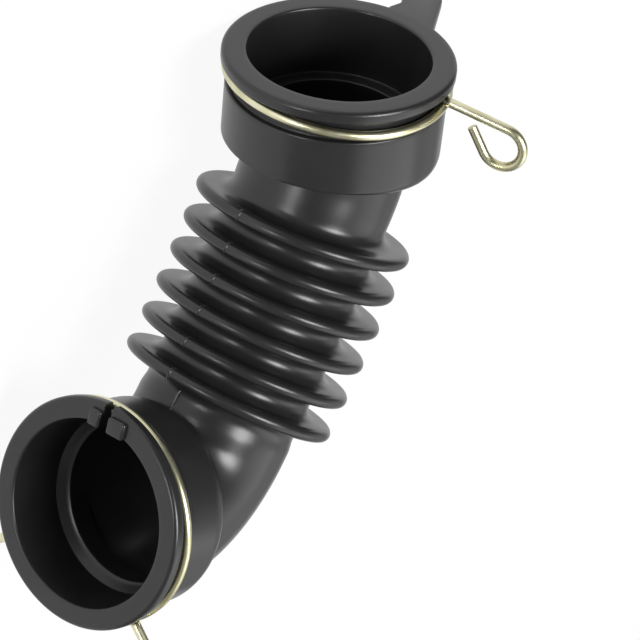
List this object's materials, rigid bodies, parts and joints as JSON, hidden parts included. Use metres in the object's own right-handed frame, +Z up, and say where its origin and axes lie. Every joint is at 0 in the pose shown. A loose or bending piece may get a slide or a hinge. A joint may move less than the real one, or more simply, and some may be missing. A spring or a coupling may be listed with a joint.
{
  "type": "washing machine dispenser hose",
  "caption": "Black rubber elbow hose with a bellows between lipped sockets, held by wire spring clamps.",
  "frame": {"origin": "middle of the footprint, on the floor that the hose lies on", "axes": "+Z up from the floor, +X along the line from the upper face to the lower face, both mouths opening towards -Y"},
  "size_m": [0.1904, 0.0842, 0.0809],
  "materials": {
    "rubber": "satin black moulded rubber",
    "clamp_wire": "bright yellow zinc plated spring wire"
  },
  "bodies": {
    "root": {"hose": "rubber", "upper_clamp": "clamp_wire", "lower_clamp": "clamp_wire"}
  },
  "joints": []
}
